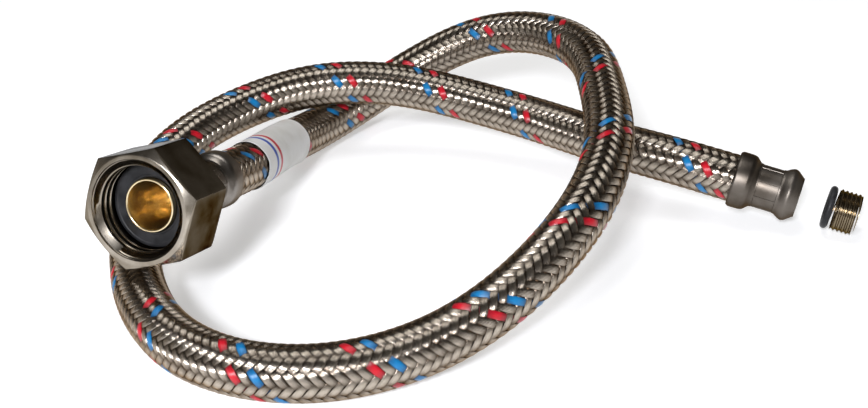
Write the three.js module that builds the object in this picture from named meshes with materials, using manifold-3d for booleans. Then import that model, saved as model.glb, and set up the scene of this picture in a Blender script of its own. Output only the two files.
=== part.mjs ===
// A flexible supply hose for a tap: a rubber tube in a braided steel jacket, with a
// swivelling G 1/2 union nut on one end and an M10 threaded stem with an O-ring on the other.
// Millimetres, +Z up. The hose lies on the plane z = 0. The origin is below the middle of
// the box around the two end fittings.

import * as THREE from 'three';
import { mergeVertices } from 'three/addons/utils/BufferGeometryUtils.js';
import Module from 'manifold-3d';

const wasm = await Module();
wasm.setup();

// Clearances between separate pieces
const seatGap = 0.3;
const slideGap = 0.4;

// Hose section
const hoseRadius = 5.75;
const braidThickness = 0.4;
const tubeWall = 1.25;
const hoseSides = 12;
const hoseSteps = 60;

// Crimp ferrules, the same on both ends
const ferruleLength = 15.7;
const ferruleWall = 0.5;
const bellWall = 0.65;
const bellLength = 4;
const crimpStart = 5.1;
const crimpEnd = 11.4;
const crimpDepth = 1.3;
const shoulderRadius = 6.3;
const shoulderEnd = 14;
const endWall = 1.05;
const endRadius = 4.8;
const crimpRibs = 8;
const crimpRibWidth = 0.5;
const crimpRibHeight = 0.2;

// Hose inside a ferrule, measured from the ferrule's mouth
const hoseSeat = 2.5;
const sleeveOverlap = 1.25;
const crimpedTubeWall = 0.7;
const hoseEndGap = 0.5;

// Barbed tail, the same on the insert and on the stem
const tailStart = 1;
const tailBore = 1.95;
const barbHeight = 0.45;
const barbPitch = 2.2;
const barbs = 6;
const neckRadius = 3;

// Brass insert that carries the union nut
const collarRadius = 6;
const flangeClearance = 0.7;
const flangeThickness = 1.8;
const spigotRadius = 5.5;
const spigotWall = 0.45;
const spigotProud = 1.2;
const funnelThroat = 3;
const funnelRamp = 2;

// Union nut, G 1/2, 24 mm across the flats
const nutFlats = 24;
const nutLength = 14;
const nutBackWall = 3;
const nutBoreRadius = 9.9;
const nutMouthChamfer = 0.8;
const nutRimStep = 0.3;
const nutFrontChamferAngle = 30;
const nutBackChamfer = 0.65;
const nutStandOff = 4.6;
const nutCornerAngle = 15;

// Flat rubber washer in the nut
const washerThickness = 2.5;
const washerClearance = 0.6;

// M10 stem
const stemFlats = 9;
const stemRadius = 5;
const stemCornerAngle = 22;
const stemFlatsLength = 4;
const stemCollarLength = 1.7;
const threadRadius = 4.95;
const threadLength = 6.3;
const threadChamfer = 0.85;
const stemMouthRadius = 2.6;
const stemCountersink = 0.6;
const ringRadius = 4.45;
const ringSection = 0.8;

// White wrap near the nut end, measured along the hose from the ferrule's mouth
const labelStart = 17;
const labelEnd = 46.5;
const labelGap = 0.35;
const labelThickness = 0.3;

// Where the ends lie: the middle of each ferrule's mouth and the way it points
const nutEndMouth = new THREE.Vector3(-64.24, -9.32, 18.8);
const nutEndTilt = 13.8;
const stemEndMouth = new THREE.Vector3(47.21, 39.04, 10.46);
const stemEndHeading = -2;
const stemEndDip = 11;
const leadIn = 18;

// Control points of the hose's route from the nut end to the stem end
const routePoints = [
  [-67.6, 28.4, 10.5],
  [-68.6, 45.9, 5.8],
  [-63.1, 64.4, 6.5],
  [-51.1, 78.9, 14.0],
  [-30.6, 84.9, 25.5],
  [-10.1, 80.4, 29.0],
  [5.9, 65.9, 29.5],
  [12.9, 47.4, 28.0],
  [19.4, 27.9, 26.5],
  [22.9, 8.9, 24.0],
  [21.4, -11.1, 20.0],
  [13.9, -30.1, 13.5],
  [1.4, -43.6, 6.5],
  [-14.1, -57.6, 5.8],
  [-31.6, -62.1, 5.8],
  [-49.6, -58.1, 5.8],
  [-64.6, -45.6, 5.8],
  [-76.1, -30.6, 5.8],
  [-85.6, -13.1, 8.0],
  [-91.6, 5.4, 11.5],
  [-89.1, 24.4, 14.5],
  [-79.1, 41.9, 17.0],
  [-65.1, 52.4, 19.5],
  [-45.1, 58.9, 18.5],
  [-25.1, 59.4, 15.0],
  [-4.6, 57.4, 12.0],
  [13.4, 47.4, 12.5],
];

// Sizes that follow from the values above
const degrees = Math.PI / 180;
const braidInner = hoseRadius - braidThickness;
const tubeOuter = braidInner - seatGap;
const tubeBore = tubeOuter - tubeWall;
const crimpedBraidOuter = hoseRadius - crimpDepth;
const crimpedBraidInner = crimpedBraidOuter - braidThickness;
const crimpedTubeOuter = crimpedBraidInner - seatGap;
const crimpedTubeBore = crimpedTubeOuter - crimpedTubeWall;
const barbRadius = crimpedTubeBore - seatGap;
const tailRoot = barbRadius - barbHeight;
const ferruleMouthInner = hoseRadius + labelGap;
const bellRadius = ferruleMouthInner + bellWall;
const crimpInner = crimpedBraidOuter + seatGap;
const crimpOuter = crimpInner + ferruleWall;
const hoseEnd = ferruleLength - endWall - hoseEndGap;
const collarStart = ferruleLength + seatGap;
const nutBack = collarStart + nutStandOff;
const nutMouth = nutBack + nutLength;
const nutCornerRadius = nutFlats / 2 / Math.cos(30 * degrees);
const nutRimRadius = nutFlats / 2 - nutRimStep;
const nutMouthRadius = nutBoreRadius + nutMouthChamfer;
const flangeRadius = nutBoreRadius - flangeClearance;
const washerRadius = nutBoreRadius - washerClearance;
const flangeBack = nutBack + nutBackWall + seatGap;
const flangeFront = flangeBack + flangeThickness;
const washerBack = flangeFront + seatGap;
const washerFront = washerBack + washerThickness;
const spigotEnd = washerFront + spigotProud;

// Lathe: [radius, height] pairs, up the outside and down the inside, turned about Z
function turned(profile, segments) {
  const points = profile.map(([r, h]) => new THREE.Vector2(r, h));
  const last = profile[profile.length - 1];
  if (last[0] !== profile[0][0] || last[1] !== profile[0][1]) points.push(points[0].clone());
  const geometry = new THREE.LatheGeometry(points, segments);
  geometry.rotateX(Math.PI / 2);
  return geometry;
}

// Regular hexagon across the flats, from height a to height b
function hexagon(acrossFlats, a, b, corner) {
  const radius = acrossFlats / 2 / Math.cos(30 * degrees);
  const geometry = new THREE.CylinderGeometry(radius, radius, b - a, 6);
  geometry.rotateX(Math.PI / 2);
  geometry.rotateZ(Math.PI / 2 + corner * degrees);
  geometry.translate(0, 0, (a + b) / 2);
  return geometry;
}

// A closed geometry as a solid for joining and cutting
function solid(geometry) {
  const bare = geometry.clone();
  bare.deleteAttribute('normal');
  bare.deleteAttribute('uv');
  const merged = mergeVertices(bare, 1e-4);
  return new wasm.Manifold(new wasm.Mesh({
    numProp: 3,
    vertProperties: new Float32Array(merged.attributes.position.array),
    triVerts: new Uint32Array(merged.index.array),
  }));
}

function geometryOf(body) {
  const mesh = body.getMesh();
  const geometry = new THREE.BufferGeometry();
  geometry.setAttribute('position', new THREE.BufferAttribute(new Float32Array(mesh.vertProperties), 3));
  geometry.setIndex(new THREE.BufferAttribute(new Uint32Array(mesh.triVerts), 1));
  geometry.computeVertexNormals();
  return geometry;
}

// Uniform cubic B-spline that starts and ends on its first and last control points
class HoseRoute extends THREE.Curve {
  constructor(control) {
    super();
    const n = control.length;
    const before = control[0].clone().multiplyScalar(2).sub(control[1]);
    const after = control[n - 1].clone().multiplyScalar(2).sub(control[n - 2]);
    this.control = [before, ...control, after];
    this.spans = n - 1;
    this.arcLengthDivisions = 1200;
  }

  getPoint(u, target = new THREE.Vector3()) {
    const place = Math.min(Math.max(u, 0), 1) * this.spans;
    const span = Math.min(Math.floor(place), this.spans - 1);
    const f = place - span;
    const weights = [
      (1 - f) ** 3 / 6,
      (3 * f ** 3 - 6 * f ** 2 + 4) / 6,
      (-3 * f ** 3 + 3 * f ** 2 + 3 * f + 1) / 6,
      f ** 3 / 6,
    ];
    target.set(0, 0, 0);
    weights.forEach((weight, k) => target.addScaledVector(this.control[span + k], weight));
    return target;
  }
}

// Ring-shaped section with flat sides
function ringSectionShape(outer, inner, sides) {
  const corner = (r, k) => new THREE.Vector2(
    r * Math.cos((2 * Math.PI * k) / sides),
    r * Math.sin((2 * Math.PI * k) / sides),
  );
  const shape = new THREE.Shape();
  const hole = new THREE.Path();
  for (let k = 0; k < sides; k += 1) {
    const a = corner(outer, k);
    const b = corner(inner, k);
    if (k === 0) {
      shape.moveTo(a.x, a.y);
      hole.moveTo(b.x, b.y);
    } else {
      shape.lineTo(a.x, a.y);
      hole.lineTo(b.x, b.y);
    }
  }
  shape.closePath();
  hole.closePath();
  shape.holes.push(hole);
  return shape;
}

function swept(outer, inner, sides, path, steps) {
  return new THREE.ExtrudeGeometry(ringSectionShape(outer, inner, sides), {
    steps,
    extrudePath: path,
    bevelEnabled: false,
  });
}

// Frame of an end: origin in the ferrule's mouth, Z out to the free end, Y as near up as it goes
function endFrame(mouth, outward) {
  const z = outward.clone().normalize();
  const x = new THREE.Vector3(0, 0, 1).cross(z).normalize();
  const y = z.clone().cross(x);
  const frame = new THREE.Group();
  frame.position.copy(mouth);
  frame.quaternion.setFromRotationMatrix(new THREE.Matrix4().makeBasis(x, y, z));
  frame.updateMatrix();
  return frame;
}

const nutOutward = new THREE.Vector3(0, -Math.cos(nutEndTilt * degrees), Math.sin(nutEndTilt * degrees));
const stemOutward = new THREE.Vector3(
  Math.cos(stemEndHeading * degrees) * Math.cos(stemEndDip * degrees),
  Math.sin(stemEndHeading * degrees) * Math.cos(stemEndDip * degrees),
  -Math.sin(stemEndDip * degrees),
);
const nutEnd = endFrame(nutEndMouth, nutOutward);
const stemEnd = endFrame(stemEndMouth, stemOutward);

const route = new HoseRoute([
  nutEndMouth.clone().addScaledVector(nutOutward, hoseSeat),
  nutEndMouth.clone().addScaledVector(nutOutward, hoseSeat - leadIn),
  ...routePoints.map(([x, y, z]) => new THREE.Vector3(x, y, z)),
  stemEndMouth.clone().addScaledVector(stemOutward, hoseSeat - leadIn),
  stemEndMouth.clone().addScaledVector(stemOutward, hoseSeat),
]);

// Hose layer: a swept ring, with a turned sleeve in each ferrule that tapers to the crimp
function hoseLayer(outer, inner, crimpedOuter, crimpedInner) {
  const body = solid(swept(outer, inner, hoseSides, route, hoseSteps));
  const facet = Math.cos(Math.PI / hoseSides);
  const overlapOuter = outer * facet - (outer * facet - inner) * 0.15;
  const overlapInner = inner + (outer * facet - inner) * 0.15;
  const taperEnd = bellLength + 0.2;
  const sleeve = turned([
    [overlapOuter, sleeveOverlap],
    [overlapOuter, hoseSeat + 0.2],
    [crimpedOuter, taperEnd],
    [crimpedOuter, hoseEnd],
    [crimpedInner, hoseEnd],
    [crimpedInner, taperEnd + 0.2],
    [overlapInner, hoseSeat],
    [overlapInner, sleeveOverlap],
  ], hoseSides * 2);
  let joined = body;
  for (const end of [nutEnd, stemEnd]) {
    joined = joined.add(solid(sleeve.clone().applyMatrix4(end.matrix)));
  }
  return geometryOf(joined);
}

// Crimped ferrule: bell at the hose, crimped band with ribs, shoulder and end wall
function ferrule() {
  const bandRise = 0.3;
  const shell = solid(turned([
    [bellRadius - 0.3, 0],
    [bellRadius - 0.1, 0.5],
    [bellRadius, bellLength * 0.57],
    [bellRadius - 0.25, bellLength],
    [(bellRadius + crimpOuter) / 2, (bellLength + crimpStart) / 2 + 0.15],
    [crimpOuter, crimpStart],
    [crimpOuter, crimpEnd],
    [(crimpOuter + shoulderRadius) / 2, crimpEnd + bandRise],
    [shoulderRadius - 0.1, crimpEnd + bandRise * 3],
    [shoulderRadius, shoulderEnd - 0.8],
    [shoulderRadius - 0.25, shoulderEnd],
    [endRadius, ferruleLength],
    [neckRadius + seatGap, ferruleLength],
    [neckRadius + seatGap, ferruleLength - endWall],
    [crimpInner, ferruleLength - endWall],
    [crimpInner, crimpStart - 0.3],
    [ferruleMouthInner, bellLength - 0.3],
    [ferruleMouthInner, 0],
  ], 24));
  const ribLength = crimpEnd - crimpStart;
  const ribDepth = crimpRibHeight + ferruleWall / 2;
  let body = shell;
  for (let k = 0; k < crimpRibs; k += 1) {
    const rib = new THREE.BoxGeometry(ribDepth, crimpRibWidth, ribLength);
    rib.translate(crimpOuter + crimpRibHeight - ribDepth / 2, 0, (crimpStart + crimpEnd) / 2);
    rib.rotateZ((2 * Math.PI * (k + 0.5)) / crimpRibs);
    body = body.add(solid(rib));
  }
  return geometryOf(body);
}

// Outside of the barbed tail, from its tip up to the neck
function barbedTail() {
  const profile = [[tailRoot - 0.1, tailStart]];
  for (let k = 1; k <= barbs; k += 1) {
    profile.push([barbRadius, tailStart + barbPitch * k]);
    profile.push([tailRoot, tailStart + barbPitch * k + 0.05]);
  }
  profile.push([tailRoot, ferruleLength - endWall - seatGap]);
  profile.push([neckRadius, ferruleLength - endWall - seatGap]);
  profile.push([neckRadius, collarStart]);
  return profile;
}

function nutInsert() {
  return turned([
    ...barbedTail(),
    [collarRadius, collarStart],
    [collarRadius, flangeBack],
    [flangeRadius, flangeBack],
    [flangeRadius, flangeFront],
    [spigotRadius, flangeFront],
    [spigotRadius, spigotEnd],
    [spigotRadius - spigotWall, spigotEnd],
    [funnelThroat, collarStart + funnelRamp],
    [tailBore, collarStart],
    [tailBore, tailStart],
  ], 24);
}

function unionNut() {
  const frontChamfer = (nutCornerRadius - nutRimRadius) * Math.tan(nutFrontChamferAngle * degrees);
  const blank = solid(hexagon(nutFlats, nutBack, nutMouth, nutCornerAngle));
  const envelope = solid(turned([
    [0, nutBack],
    [nutCornerRadius - nutBackChamfer, nutBack],
    [nutCornerRadius + 0.01, nutBack + nutBackChamfer * Math.tan(30 * degrees)],
    [nutCornerRadius + 0.01, nutMouth - frontChamfer],
    [nutRimRadius, nutMouth],
    [0, nutMouth],
  ], 48));
  const beyond = 1;
  const hollow = solid(turned([
    [0, nutBack - beyond],
    [collarRadius + slideGap, nutBack - beyond],
    [collarRadius + slideGap, nutBack + nutBackWall],
    [nutBoreRadius, nutBack + nutBackWall],
    [nutBoreRadius, nutMouth - nutMouthChamfer],
    [nutMouthRadius, nutMouth],
    [nutMouthRadius, nutMouth + beyond],
    [0, nutMouth + beyond],
  ], 36));
  return geometryOf(blank.intersect(envelope).subtract(hollow));
}

function flatWasher() {
  return turned([
    [washerRadius, washerBack],
    [washerRadius, washerFront],
    [spigotRadius + slideGap, washerFront],
    [spigotRadius + slideGap, washerBack],
  ], 36);
}

// M10 stem: barbed tail, spanner flats, collar, O-ring groove and threaded end
const collarTop = collarStart + stemFlatsLength + stemCollarLength;
const grooveWidth = 2 * (ringSection + seatGap);
const threadStart = collarTop + grooveWidth;
const stemTip = threadStart + threadLength;
const grooveRadius = ringRadius - ringSection - seatGap;

function m10Stem() {
  const turnedBody = solid(turned([
    ...barbedTail(),
    [stemRadius, collarStart],
    [stemRadius, collarTop],
    [grooveRadius, collarTop],
    [grooveRadius, threadStart],
    [threadRadius - threadChamfer / 2, threadStart],
    [threadRadius, threadStart + threadChamfer / 2],
    [threadRadius, stemTip - threadChamfer],
    [threadRadius - threadChamfer, stemTip],
    [stemMouthRadius + stemCountersink, stemTip],
    [stemMouthRadius, stemTip - stemCountersink],
    [stemMouthRadius, collarTop],
    [tailBore, collarTop - 1],
    [tailBore, tailStart],
  ], 24));
  const flatsTop = collarStart + stemFlatsLength;
  const around = solid(turned([
    [0, collarStart - seatGap / 2],
    [stemRadius + 2, collarStart - seatGap / 2],
    [stemRadius + 2, flatsTop],
    [0, flatsTop],
  ], 12));
  const waste = around.subtract(solid(hexagon(stemFlats, collarStart - 1, flatsTop + 1, stemCornerAngle)));
  return geometryOf(turnedBody.subtract(waste));
}

function oRing() {
  const geometry = new THREE.TorusGeometry(ringRadius, ringSection, 10, 24);
  geometry.translate(0, 0, collarTop + grooveWidth / 2);
  return geometry;
}

// White wrap: a loose band that follows the hose
function label() {
  const length = route.getLength();
  const points = [];
  const parts = 6;
  for (let k = 0; k <= parts; k += 1) {
    const s = hoseSeat + labelStart + ((labelEnd - labelStart) * k) / parts;
    points.push(route.getPointAt(s / length));
  }
  const inner = hoseRadius + labelGap;
  return swept(inner + labelThickness, inner, hoseSides * 2, new THREE.CatmullRomCurve3(points), 4);
}

// Materials
const nickel = new THREE.MeshStandardMaterial({ color: 0xc9c5be, roughness: 0.16, metalness: 1 });
const ferruleSteel = new THREE.MeshStandardMaterial({ color: 0xcfccc8, roughness: 0.22, metalness: 1 });
const brass = new THREE.MeshStandardMaterial({ color: 0xb98a3c, roughness: 0.2, metalness: 1 });
const wire = new THREE.MeshStandardMaterial({ color: 0xb9b9b7, roughness: 0.35, metalness: 1 });
const blackRubber = new THREE.MeshStandardMaterial({ color: 0x141414, roughness: 0.6, metalness: 0 });
const whiteFilm = new THREE.MeshStandardMaterial({ color: 0xf2f2ef, roughness: 0.5, metalness: 0 });

function named(name, geometry, material) {
  const mesh = new THREE.Mesh(geometry, material);
  mesh.name = name;
  return mesh;
}

nutEnd.add(
  named('union_nut', unionNut(), nickel),
  named('flat_washer', flatWasher(), blackRubber),
  named('nut_insert', nutInsert(), brass),
  named('nut_ferrule', ferrule(), ferruleSteel),
);
stemEnd.add(
  named('m10_ferrule', ferrule(), ferruleSteel),
  named('m10_stem', m10Stem(), nickel),
  named('o_ring', oRing(), blackRubber),
);

const supplyHose = new THREE.Group();
supplyHose.add(
  nutEnd,
  stemEnd,
  named('wire_braid', hoseLayer(hoseRadius, braidInner, crimpedBraidOuter, crimpedBraidInner), wire),
  named('inner_tube', hoseLayer(tubeOuter, tubeBore, crimpedTubeOuter, crimpedTubeBore), blackRubber),
  named('label', label(), whiteFilm),
);

export default supplyHose;
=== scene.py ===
# %% [markdown]
# # A flexible supply hose
# This lesson dresses a braided tap hose: a rubber tube in a woven steel jacket, a swivelling
# nut on one end and a threaded stem on the other. The fitted solids come from the packed
# model. Each one is then either given its finish or replaced by a finer piece in the same place.

# %% Load the model
from bisect import bisect_right
from math import atan2, cos, degrees, hypot, pi, radians, sin, tan

import bmesh
import bpy
from mathutils import Matrix, Vector


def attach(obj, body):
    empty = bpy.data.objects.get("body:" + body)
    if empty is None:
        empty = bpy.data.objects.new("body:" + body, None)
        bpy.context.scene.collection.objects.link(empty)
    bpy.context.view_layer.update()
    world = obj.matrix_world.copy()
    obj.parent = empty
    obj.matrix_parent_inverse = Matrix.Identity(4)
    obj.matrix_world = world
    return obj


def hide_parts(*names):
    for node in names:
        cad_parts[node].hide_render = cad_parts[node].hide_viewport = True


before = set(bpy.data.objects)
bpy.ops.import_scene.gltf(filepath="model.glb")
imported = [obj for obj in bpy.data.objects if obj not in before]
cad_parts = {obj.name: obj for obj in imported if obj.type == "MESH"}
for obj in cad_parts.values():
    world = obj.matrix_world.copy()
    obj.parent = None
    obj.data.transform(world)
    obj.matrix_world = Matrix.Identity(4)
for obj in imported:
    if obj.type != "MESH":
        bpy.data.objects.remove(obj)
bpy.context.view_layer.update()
MM = 0.001
print("nodes", sorted(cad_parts))

# %% [markdown]
# ## Camera
# The photograph looks down at the hose from the side of the nut. A heading, a tilt and a
# small roll are enough to repeat the view, and the lens is slightly longer than normal.

# %% Camera
# Place in mm, angles in degrees, nearest thing seen in metres
CAMERA_PLACE = (72.86, -234.62, 141.07)
CAMERA_HEADING = 20.5
CAMERA_TILT = 26.85
CAMERA_ROLL = -2.32
LENS_MM = 51.3
SENSOR_MM = 36.0
NEAREST_SEEN = 0.01

camera_data = bpy.data.cameras.new("camera")
camera_data.lens = LENS_MM
camera_data.sensor_width = SENSOR_MM
camera_data.sensor_fit = "HORIZONTAL"
camera_data.clip_start = NEAREST_SEEN
camera = bpy.data.objects.new("camera", camera_data)
bpy.context.collection.objects.link(camera)
camera.matrix_world = (
    Matrix.Translation(Vector(CAMERA_PLACE) * MM)
    @ Matrix.Rotation(radians(CAMERA_HEADING), 4, "Z")
    @ Matrix.Rotation(radians(90 - CAMERA_TILT), 4, "X")
    @ Matrix.Rotation(radians(CAMERA_ROLL), 4, "Z")
)
bpy.context.scene.camera = camera
print("camera", [round(v, 4) for v in camera.location])

# %% [markdown]
# ## Route of the hose
# A hose bends in long smooth curves, so its middle line is a cubic spline through the air
# near a few chosen points. They are the same points as in the solid model, so everything
# woven on the line fits the fittings.

# %% Route
# Mouths of the two crimped sleeves in mm, and the ways in which their axes point
NUT_MOUTH = Vector((-64.24, -9.32, 18.8))
STEM_MOUTH = Vector((47.21, 39.04, 10.46))
NUT_TILT = radians(13.8)
STEM_HEADING = radians(-2)
STEM_DIP = radians(11)
NUT_OUT = Vector((0, -cos(NUT_TILT), sin(NUT_TILT)))
STEM_OUT = Vector((
    cos(STEM_HEADING) * cos(STEM_DIP),
    sin(STEM_HEADING) * cos(STEM_DIP),
    -sin(STEM_DIP),
))
# How deep the hose sits in a sleeve, and how far on its second point lies, in mm
HOSE_SEAT = 2.5
LEAD_IN = 18
# The points between the two ends, in mm
ROUTE = [
    (-67.6, 28.4, 10.5), (-68.6, 45.9, 5.8), (-63.1, 64.4, 6.5), (-51.1, 78.9, 14.0),
    (-30.6, 84.9, 25.5), (-10.1, 80.4, 29.0), (5.9, 65.9, 29.5), (12.9, 47.4, 28.0),
    (19.4, 27.9, 26.5), (22.9, 8.9, 24.0), (21.4, -11.1, 20.0), (13.9, -30.1, 13.5),
    (1.4, -43.6, 6.5), (-14.1, -57.6, 5.8), (-31.6, -62.1, 5.8), (-49.6, -58.1, 5.8),
    (-64.6, -45.6, 5.8), (-76.1, -30.6, 5.8), (-85.6, -13.1, 8.0), (-91.6, 5.4, 11.5),
    (-89.1, 24.4, 14.5), (-79.1, 41.9, 17.0), (-65.1, 52.4, 19.5), (-45.1, 58.9, 18.5),
    (-25.1, 59.4, 15.0), (-4.6, 57.4, 12.0), (13.4, 47.4, 12.5),
]
# Short steps into which the line is cut
SAMPLES = 3000


def spline_points(control, samples):
    """Cubic B-spline that starts and ends on the first and last control points."""
    ghosts = [2 * control[0] - control[1], *control, 2 * control[-1] - control[-2]]
    spans = len(control) - 1
    points = []
    for k in range(samples + 1):
        place = spans * k / samples
        span = min(int(place), spans - 1)
        f = place - span
        weights = ((1 - f) ** 3, 3 * f**3 - 6 * f**2 + 4, -3 * f**3 + 3 * f**2 + 3 * f + 1, f**3)
        total = Vector((0, 0, 0))
        for weight, point in zip(weights, ghosts[span:span + 4]):
            total += point * (weight / 6)
        points.append(total)
    return points


control = [NUT_MOUTH + NUT_OUT * HOSE_SEAT, NUT_MOUTH + NUT_OUT * (HOSE_SEAT - LEAD_IN)]
control += [Vector(p) for p in ROUTE]
control += [STEM_MOUTH + STEM_OUT * (HOSE_SEAT - LEAD_IN), STEM_MOUTH + STEM_OUT * HOSE_SEAT]
line = spline_points(control, SAMPLES)

# %% [markdown]
# The weave needs, at any distance along the hose, a point, the direction there and two
# directions across it. Carrying the cross direction along without twist keeps the pattern even.

# %% Frames along the route
travel = [0.0]
for a, b in zip(line, line[1:]):
    travel.append(travel[-1] + (b - a).length)
HOSE_LENGTH = travel[-1]
tangents = []
for k in range(len(line)):
    tangents.append((line[min(k + 1, SAMPLES)] - line[max(k - 1, 0)]).normalized())
across = [Vector((0, 0, 1)).cross(tangents[0]).normalized()]
for tangent in tangents[1:]:
    carried = across[-1] - tangent * across[-1].dot(tangent)
    across.append(carried.normalized())


def frame_at(distance):
    """Point, cross direction, second cross direction and tangent at a distance in mm."""
    high = min(bisect_right(travel, distance), SAMPLES)
    low = high - 1
    share = (distance - travel[low]) / (travel[high] - travel[low])
    point = line[low].lerp(line[high], share)
    tangent = tangents[low].lerp(tangents[high], share).normalized()
    side = across[low].lerp(across[high], share)
    side = (side - tangent * side.dot(tangent)).normalized()
    return point, side, tangent.cross(side), tangent


print("hose length between the ferrules, mm:", round(HOSE_LENGTH, 1))

# %% [markdown]
# ## Small helpers
# New meshes are put in one place, with their finish, their smooth shading and the body that
# they ride on. The pieces that follow the hose share the helpers for points and faces.

# %% Helpers for objects
def pick(obj):
    """Select one object only, and make it active."""
    bpy.ops.object.select_all(action="DESELECT")
    obj.select_set(True)
    bpy.context.view_layer.objects.active = obj


def modify(obj, kind, **settings):
    """Add a modifier with these settings, and apply it."""
    pick(obj)
    bpy.ops.object.modifier_add(type=kind)
    modifier = obj.modifiers[-1]
    for name, value in settings.items():
        setattr(modifier, name, value)
    bpy.ops.object.modifier_apply(modifier=modifier.name)


def finish_piece(obj, material, body, smooth=40):
    """Give a piece its material, its shading and the body that carries it."""
    obj.data.materials.clear()
    obj.data.materials.append(material)
    pick(obj)
    bpy.ops.object.shade_smooth_by_angle(angle=radians(smooth))
    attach(obj, body)
    print(obj.name, len(obj.data.polygons), "faces")


# %% Helpers for meshes
def mesh_object(name, points, faces):
    """An object at the origin from points in mm and faces."""
    mesh = bpy.data.meshes.new(name)
    mesh.from_pydata([tuple(p * MM) for p in points], [], faces)
    mesh.update()
    obj = bpy.data.objects.new(name, mesh)
    bpy.context.collection.objects.link(obj)
    return obj


def lay_uvs(obj, uvs):
    """Make a UV map from one place for each vertex."""
    layer = obj.data.uv_layers.new(name="UVMap")
    for loop in obj.data.loops:
        layer.data[loop.index].uv = uvs[loop.vertex_index]


def around(here, radius, angle, along=0):
    """A point at a radius and an angle round a frame of the route, and a little along it."""
    point, side, other, tangent = here
    place = point + tangent * along
    return place + side * (radius * cos(angle)) + other * (radius * sin(angle))


def tube_faces(first, steps, count):
    """Faces of a closed tube: steps + 1 rings of count points, numbered from first on."""
    faces = []
    for k in range(steps):
        for j in range(count):
            a = first + k * count + j
            b = first + k * count + (j + 1) % count
            faces.append((a, b, b + count, a + count))
    faces.append(tuple(first + j for j in range(count - 1, -1, -1)))
    faces.append(tuple(first + steps * count + j for j in range(count)))
    return faces


# %% [markdown]
# ## Places of the two ends
# Each fitting is made upright at the origin and then moved to its end of the hose. The same
# place also serves the materials, whose turning marks have to run round the fitting's axis.

# %% Places of the two ends
def end_place(mouth, outward):
    """The place of a fitting: Z points outward, X is level."""
    level = Vector((0, 0, 1)).cross(outward).normalized()
    upward = outward.cross(level)
    turn = Matrix((level, upward, outward)).transposed().to_4x4()
    return Matrix.Translation(mouth * MM) @ turn


NUT_END = end_place(NUT_MOUTH, NUT_OUT)
STEM_END = end_place(STEM_MOUTH, STEM_OUT)

# %% [markdown]
# ## Finishes
# Plated brass and rolled steel differ mostly in how sharp their reflections are. No real metal
# is even, so each finish varies a little in colour and gloss, and a fine bump carries the marks
# of the tool. On a turned piece those marks are rings, so their noise is read by distance from
# the axis and along it, and not round it.

# %% Material helpers
# Most of a noise lies between these values
NOISE_LOW = 0.3
NOISE_HIGH = 0.7
WHITE = (1, 1, 1)


def shader_inputs(material):
    """The inputs of a material's main shader."""
    return material.node_tree.nodes["Principled BSDF"].inputs


def new_finish(name, colour, metallic, roughness):
    """A new material with one even colour, to which nodes can then be added."""
    material = bpy.data.materials.new(name)
    material.use_nodes = True
    inputs = shader_inputs(material)
    inputs["Base Color"].default_value = (*colour, 1)
    inputs["Metallic"].default_value = metallic
    inputs["Roughness"].default_value = roughness
    return material


def add(material, kind, **values):
    """Add a node; values are its settings, or the inputs of the same name."""
    node = material.node_tree.nodes.new(kind)
    for name, value in values.items():
        if hasattr(node, name):
            setattr(node, name, value)
        else:
            node.inputs[name.replace("_", " ").title()].default_value = value
    return node


def join(material, start, end):
    """Link an output to an input, or set the input to a plain value."""
    if isinstance(start, bpy.types.NodeSocket):
        material.node_tree.links.new(start, end)
    else:
        end.default_value = start


def noise(material, vector, scale, detail):
    """A noise from 0 to 1, finer with a larger scale."""
    node = add(material, "ShaderNodeTexNoise", scale=scale, detail=detail)
    join(material, vector, node.inputs["Vector"])
    return node.outputs["Fac"]


def calculate(material, operation, *values, clamp=False):
    """The result of a Math node; each value is a number or an output."""
    node = add(material, "ShaderNodeMath", operation=operation, use_clamp=clamp)
    for value, socket in zip(values, node.inputs):
        join(material, value, socket)
    return node.outputs["Value"]


def map_range(material, value, low, high, to_low=0.0, to_high=1.0):
    """Map low and high to two other values, and go no further than those."""
    node = add(material, "ShaderNodeMapRange", from_min=low, from_max=high,
               to_min=to_low, to_max=to_high)
    join(material, value, node.inputs["Value"])
    return node.outputs["Result"]


def spread(material, amount, low, high):
    """Map the range where most of a noise lies to low and high."""
    return map_range(material, amount, NOISE_LOW, NOISE_HIGH, low, high)


def colours_by(material, amount, stops):
    """A colour ramp with stops of (place, colour)."""
    ramp = add(material, "ShaderNodeValToRGB")
    elements = ramp.color_ramp.elements
    while len(elements) < len(stops):
        elements.new(0.5)
    for element, (place, colour) in zip(elements, stops):
        element.position = place
        element.color = (*colour, 1)
    join(material, amount, ramp.inputs["Fac"])
    return ramp.outputs["Color"]


def multiplied(material, colour, tint, share):
    """A colour multiplied by a tint, to the share given by a number or an output."""
    node = add(material, "ShaderNodeMix", data_type="RGBA", blend_type="MULTIPLY")
    join(material, share, node.inputs["Factor"])
    join(material, colour, node.inputs["A"])
    join(material, tint, node.inputs["B"])
    return node.outputs["Result"]


def bump(material, height, depth_mm, strength, under=None):
    """A bump of a depth in mm, on top of another one if given."""
    node = add(material, "ShaderNodeBump", strength=strength, distance=depth_mm * MM)
    join(material, height, node.inputs["Height"])
    if under is not None:
        join(material, under, node.inputs["Normal"])
    return node.outputs["Normal"]


# %% [markdown]
# The metals are darker here than measured ones. In the photograph the nut mirrors a dark room,
# and here it mirrors a white floor, so the dark look is put into the finish: all glancing
# reflections are toned down, and the nut's outer faces get a tint of their own.

# %% Turned metals
RING_SCALE = 9000
CLOUD_SCALE = 160
DENT_SCALE = 1400
RING_STRENGTH = 0.8
DENT_STRENGTH = 0.6
DARK_AT = 0.35
LIGHT_AT = 0.65
# Painted dark reflection on the nut's outer faces, as a tint, and the width in mm over which it
# fades
PAINTED_DARK_REFLECTION = (0.42, 0.41, 0.40)
OUTER_FADE = 0.4


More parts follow.
